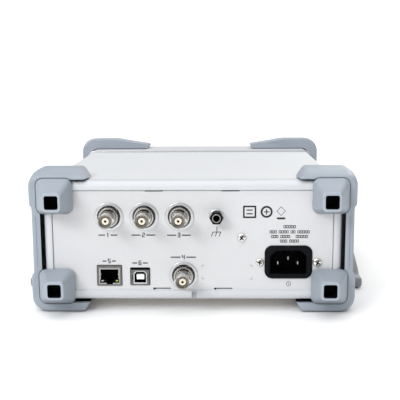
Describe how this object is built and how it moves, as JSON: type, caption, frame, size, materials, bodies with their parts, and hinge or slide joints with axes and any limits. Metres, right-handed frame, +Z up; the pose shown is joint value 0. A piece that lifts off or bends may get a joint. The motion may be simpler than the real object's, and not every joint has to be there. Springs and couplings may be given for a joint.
{
  "type": "frequency counter",
  "caption": "Bench frequency counter with corner bumpers, a folding bail handle, rear coaxial sockets, data ports and mains inlet, and a front panel with display, keys and knob.",
  "frame": {"origin": "centre of the footprint box, on the surface that the bumpers stand on", "axes": "+Z up, front panel towards -Y, rear panel towards +Y, +X to the right seen from the front"},
  "size_m": [0.26, 0.281, 0.105],
  "materials": {
    "case_paint": "satin powder coat, warm white",
    "frame_plastic": "fine satin moulded plastic, white",
    "panel_paint": "light grey painted sheet",
    "bumper_rubber": "matte blue-grey elastomer",
    "connector_metal": "bright nickel plate",
    "black_plastic": "black moulded plastic",
    "contact_metal": "plated brass contacts",
    "tongue_plastic": "ivory moulded plastic",
    "handle_plastic": "mid grey moulded plastic",
    "hub_plastic": "dark grey moulded plastic",
    "front_plastic": "light grey front panel",
    "key_rubber": "silicone keys",
    "knob_plastic": "grey knob",
    "window": "dark glossy display window",
    "display_parts": "display module",
    "chassis_metal": "bare sheet metal",
    "circuit_board": "green circuit board with parts"
  },
  "bodies": {
    "instrument": {"top_cover": "case_paint", "bottom_cover": "case_paint", "rear_frame": "frame_plastic", "front_housing": "frame_plastic", "rear_panel": "panel_paint", "rear_bumper_right": "bumper_rubber", "rear_bumper_left": "bumper_rubber", "front_bumper_right": "bumper_rubber", "front_bumper_left": "bumper_rubber", "front_panel": "front_plastic", "display_window": "window", "display_module": "display_parts", "key_board": "circuit_board", "main_board": "circuit_board", "power_supply_board": "circuit_board", "usb_host_port": "connector_metal", "input_bnc_a": "connector_metal", "input_bnc_b": "connector_metal", "bnc_counter_in": "connector_metal", "bnc_aux": "connector_metal", "bnc_reference_in": "connector_metal", "bnc_reference_out": "connector_metal", "bnc_nut_counter_in": "connector_metal", "bnc_nut_aux": "connector_metal", "bnc_nut_reference_in": "connector_metal", "bnc_nut_reference_out": "connector_metal", "ground_jack_nut": "connector_metal", "lan_port": "connector_metal", "usb_device_port": "connector_metal", "inlet_screw_left": "connector_metal", "inlet_screw_right": "connector_metal", "panel_screw": "connector_metal", "ground_jack": "black_plastic", "mains_inlet": "black_plastic", "usb_device_tongue": "tongue_plastic", "mains_pin_line": "contact_metal", "mains_pin_earth": "contact_metal", "mains_pin_neutral": "contact_metal", "chassis_tray": "chassis_metal", "reference_oscillator": "chassis_metal", "handle_hub_right": "hub_plastic", "handle_hub_left": "hub_plastic"},
    "handle": {"handle_arm_right": "handle_plastic", "handle_arm_left": "handle_plastic", "handle_grip": "handle_plastic"},
    "knob": {"knob": "knob_plastic"},
    "soft_key_1": {"soft_key_1": "key_rubber"},
    "soft_key_2": {"soft_key_2": "key_rubber"},
    "soft_key_3": {"soft_key_3": "key_rubber"},
    "soft_key_4": {"soft_key_4": "key_rubber"},
    "soft_key_5": {"soft_key_5": "key_rubber"},
    "soft_key_6": {"soft_key_6": "key_rubber"},
    "function_key": {"function_key": "key_rubber"},
    "channel_key": {"channel_key": "key_rubber"},
    "trigger_key": {"trigger_key": "key_rubber"},
    "run_key": {"run_key": "key_rubber"},
    "arrow_key_left": {"arrow_key_left": "key_rubber"},
    "arrow_key_right": {"arrow_key_right": "key_rubber"},
    "power_button": {"power_button": "key_rubber"}
  },
  "joints": [
    {"name": "handle_pivot", "type": "hinge", "parent": "instrument", "child": "handle", "pos_m": [0, -0.058, 0.046], "axis": [-1, 0, 0], "range_deg": [0, 300]},
    {"name": "knob_turn", "type": "hinge", "parent": "instrument", "child": "knob", "pos_m": [0.0785, -0.1245, 0.069], "axis": [0, -1, 0], "continuous": true},
    {"name": "soft_key_1_press", "type": "slide", "parent": "instrument", "child": "soft_key_1", "axis": [0, 1, 0], "range_m": [0, 0.0008], "stiffness_N_per_m": 600, "springref_m": -0.0004},
    {"name": "soft_key_2_press", "type": "slide", "parent": "instrument", "child": "soft_key_2", "axis": [0, 1, 0], "range_m": [0, 0.0008], "stiffness_N_per_m": 600, "springref_m": -0.0004},
    {"name": "soft_key_3_press", "type": "slide", "parent": "instrument", "child": "soft_key_3", "axis": [0, 1, 0], "range_m": [0, 0.0008], "stiffness_N_per_m": 600, "springref_m": -0.0004},
    {"name": "soft_key_4_press", "type": "slide", "parent": "instrument", "child": "soft_key_4", "axis": [0, 1, 0], "range_m": [0, 0.0008], "stiffness_N_per_m": 600, "springref_m": -0.0004},
    {"name": "soft_key_5_press", "type": "slide", "parent": "instrument", "child": "soft_key_5", "axis": [0, 1, 0], "range_m": [0, 0.0008], "stiffness_N_per_m": 600, "springref_m": -0.0004},
    {"name": "soft_key_6_press", "type": "slide", "parent": "instrument", "child": "soft_key_6", "axis": [0, 1, 0], "range_m": [0, 0.0008], "stiffness_N_per_m": 600, "springref_m": -0.0004},
    {"name": "function_key_press", "type": "slide", "parent": "instrument", "child": "function_key", "axis": [0, 1, 0], "range_m": [0, 0.0008], "stiffness_N_per_m": 600, "springref_m": -0.0004},
    {"name": "channel_key_press", "type": "slide", "parent": "instrument", "child": "channel_key", "axis": [0, 1, 0], "range_m": [0, 0.0008], "stiffness_N_per_m": 600, "springref_m": -0.0004},
    {"name": "trigger_key_press", "type": "slide", "parent": "instrument", "child": "trigger_key", "axis": [0, 1, 0], "range_m": [0, 0.0008], "stiffness_N_per_m": 600, "springref_m": -0.0004},
    {"name": "run_key_press", "type": "slide", "parent": "instrument", "child": "run_key", "axis": [0, 1, 0], "range_m": [0, 0.0008], "stiffness_N_per_m": 600, "springref_m": -0.0004},
    {"name": "arrow_key_left_press", "type": "slide", "parent": "instrument", "child": "arrow_key_left", "axis": [0, 1, 0], "range_m": [0, 0.0008], "stiffness_N_per_m": 600, "springref_m": -0.0004},
    {"name": "arrow_key_right_press", "type": "slide", "parent": "instrument", "child": "arrow_key_right", "axis": [0, 1, 0], "range_m": [0, 0.0008], "stiffness_N_per_m": 600, "springref_m": -0.0004},
    {"name": "power_button_press", "type": "slide", "parent": "instrument", "child": "power_button", "axis": [0, 1, 0], "range_m": [0, 0.0009], "stiffness_N_per_m": 600, "springref_m": -0.0004}
  ]
}
